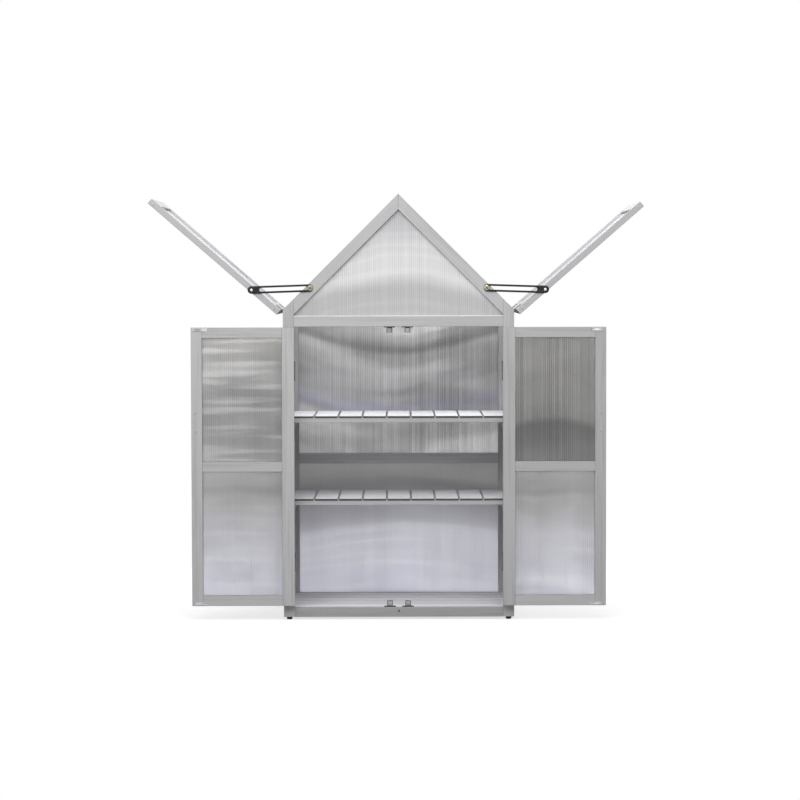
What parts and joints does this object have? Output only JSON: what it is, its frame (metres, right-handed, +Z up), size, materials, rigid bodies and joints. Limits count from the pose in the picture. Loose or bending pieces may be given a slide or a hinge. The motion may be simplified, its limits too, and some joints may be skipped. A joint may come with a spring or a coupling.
{
  "type": "mini greenhouse",
  "caption": "Slim wooden greenhouse cabinet with a gable roof, hinged clear-glazed doors and roof panels on slotted stays, slatted shelves and short feet.",
  "frame": {"origin": "on the ground, midway between the body's sides, and midway between the faces of the open doors and the back", "axes": "+X to the right as seen from the front, +Y to the back, +Z up"},
  "size_m": [1.6269, 0.461, 1.402],
  "materials": {
    "painted_wood": "grey water-based stain on planed fir, matt, grain showing",
    "bare_slats": "light grey stain on planed fir, matt",
    "polycarbonate": "clear twin-wall sheet with upright flutes",
    "foot_plastic": "matt black moulded plastic",
    "black_steel": "black coated pressed steel, satin",
    "catch_steel": "zinc plated steel round a dark magnet",
    "yellow_zinc": "yellow passivated screws and washers",
    "zinc_steel": "zinc plated steel"
  },
  "bodies": {
    "root": {"front_post_left": "painted_wood", "front_post_right": "painted_wood", "front_rafter_left": "painted_wood", "front_rafter_right": "painted_wood", "front_tie_beam": "painted_wood", "front_base_rail": "painted_wood", "front_gable_pane": "polycarbonate", "back_posts": "painted_wood", "back_rafters": "painted_wood", "back_tie_beam": "painted_wood", "back_mid_rail": "painted_wood", "back_base_rail": "painted_wood", "back_gable_pane": "polycarbonate", "back_panes": "polycarbonate", "ridge_bar": "painted_wood", "side_left_stiles": "painted_wood", "side_left_rails": "painted_wood", "side_left_panes": "polycarbonate", "side_right_stiles": "painted_wood", "side_right_rails": "painted_wood", "side_right_panes": "polycarbonate", "floor_boards": "bare_slats", "floor_bearers": "painted_wood", "shelf_slats": "bare_slats", "shelf_rails": "painted_wood", "shelf_cleats": "painted_wood", "feet": "foot_plastic", "magnetic_catches": "catch_steel", "door_hinge_post_leaves": "zinc_steel", "roof_hinge_rail_leaves": "zinc_steel", "hinge_pins": "zinc_steel", "stay_screws": "yellow_zinc", "frame_screws": "zinc_steel"},
    "door_left": {"door_left_stiles": "painted_wood", "door_left_rails": "painted_wood", "door_left_panes": "polycarbonate", "door_left_handle": "black_steel", "door_left_handle_screws": "zinc_steel", "door_left_strikes": "zinc_steel", "door_left_hinge_leaves": "zinc_steel"},
    "door_right": {"door_right_stiles": "painted_wood", "door_right_rails": "painted_wood", "door_right_panes": "polycarbonate", "door_right_handle": "black_steel", "door_right_handle_screws": "zinc_steel", "door_right_strikes": "zinc_steel", "door_right_hinge_leaves": "zinc_steel"},
    "roof_left": {"roof_left_stiles": "painted_wood", "roof_left_rails": "painted_wood", "roof_left_pane": "polycarbonate", "roof_left_hinge_leaves": "zinc_steel", "roof_left_fasteners": "zinc_steel"},
    "roof_right": {"roof_right_stiles": "painted_wood", "roof_right_rails": "painted_wood", "roof_right_pane": "polycarbonate", "roof_right_hinge_leaves": "zinc_steel", "roof_right_fasteners": "zinc_steel"},
    "stay_left": {"stay_left": "black_steel"},
    "stay_right": {"stay_right": "black_steel"}
  },
  "joints": [
    {"name": "door_left_hinge", "type": "hinge", "parent": "root", "child": "door_left", "pos_m": [-0.34225, -0.205, 0.5], "axis": [0, 0, 1], "range_deg": [0, 180]},
    {"name": "door_right_hinge", "type": "hinge", "parent": "root", "child": "door_right", "pos_m": [0.34225, -0.205, 0.5], "axis": [0, 0, -1], "range_deg": [0, 180]},
    {"name": "roof_left_hinge", "type": "hinge", "parent": "root", "child": "roof_left", "pos_m": [-0.38357, -0.2017, 1.0209], "axis": [0, 1, 0], "range_deg": [0, 94]},
    {"name": "roof_right_hinge", "type": "hinge", "parent": "root", "child": "roof_right", "pos_m": [0.38357, -0.2017, 1.0209], "axis": [0, -1, 0], "range_deg": [0, 94]},
    {"name": "stay_left_pivot", "type": "hinge", "parent": "roof_left", "child": "stay_left", "pos_m": [-0.48208, -0.2017, 1.08766], "axis": [0, 1, 0], "range_deg": [-47, 0]},
    {"name": "stay_right_pivot", "type": "hinge", "parent": "roof_right", "child": "stay_right", "pos_m": [0.48208, -0.2017, 1.08766], "axis": [0, -1, 0], "range_deg": [-47, 0]}
  ],
  "couplings": [
    {"joint": "stay_left_pivot", "follows": "roof_left_hinge", "ratio": -0.5},
    {"joint": "stay_right_pivot", "follows": "roof_right_hinge", "ratio": -0.5}
  ]
}
